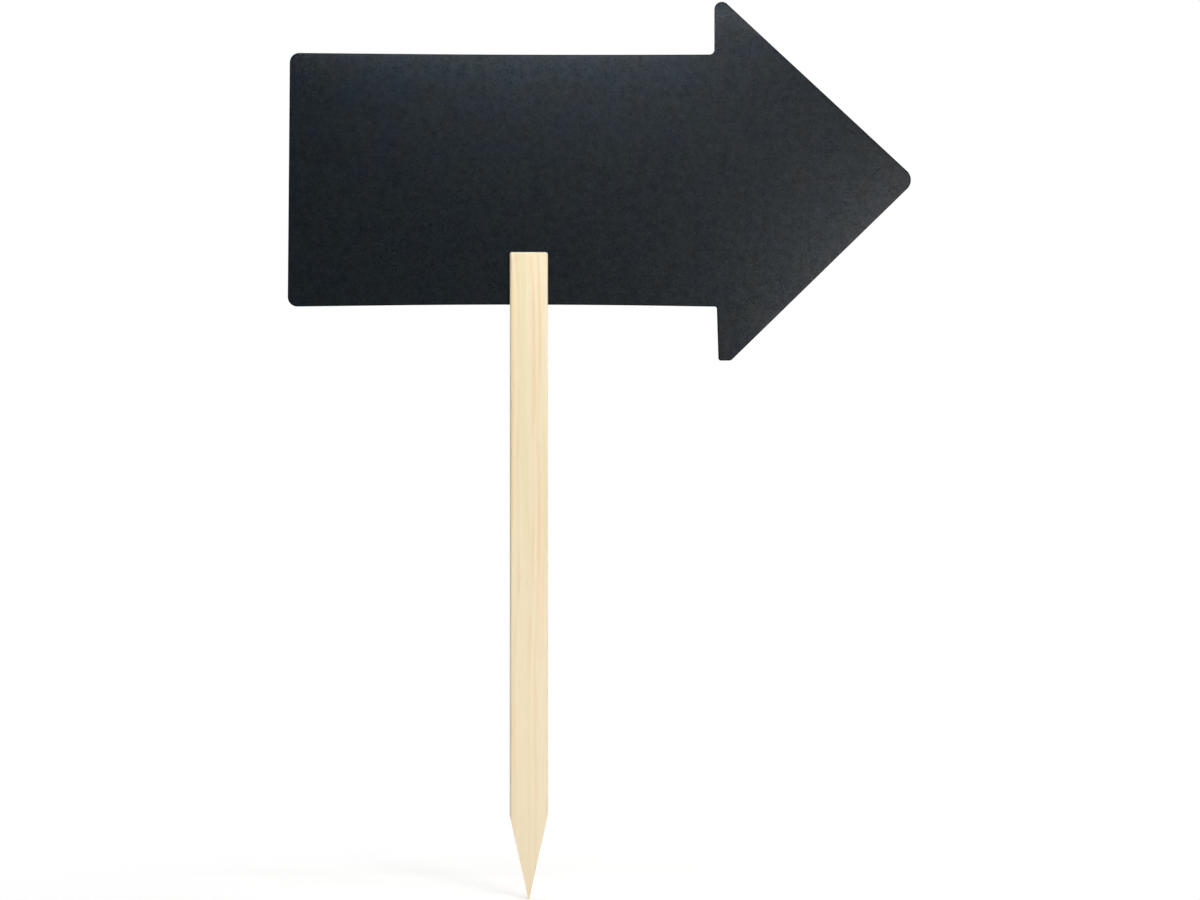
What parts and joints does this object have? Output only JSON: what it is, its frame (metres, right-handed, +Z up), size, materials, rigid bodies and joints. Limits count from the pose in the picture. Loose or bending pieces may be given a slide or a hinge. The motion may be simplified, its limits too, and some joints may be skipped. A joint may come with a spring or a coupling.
{
  "type": "arrow sign",
  "caption": "Blank arrow-shaped chalkboard held in the slotted top of a pointed wooden ground stake.",
  "frame": {"origin": "the tip of the stake, on the stake's axis and in the middle of its thickness", "axes": "+X the way the arrow points, +Y from the front face to the back, +Z up along the stake"},
  "size_m": [0.4099, 0.015, 0.5898],
  "materials": {
    "chalkboard": "matt black chalkboard paint on all sides, fine sandy texture",
    "pale_softwood": "bare planed pale softwood, sawn at the slot, the top and the point"
  },
  "bodies": {
    "root": {"arrow_board": "chalkboard", "stake": "pale_softwood"}
  },
  "joints": []
}
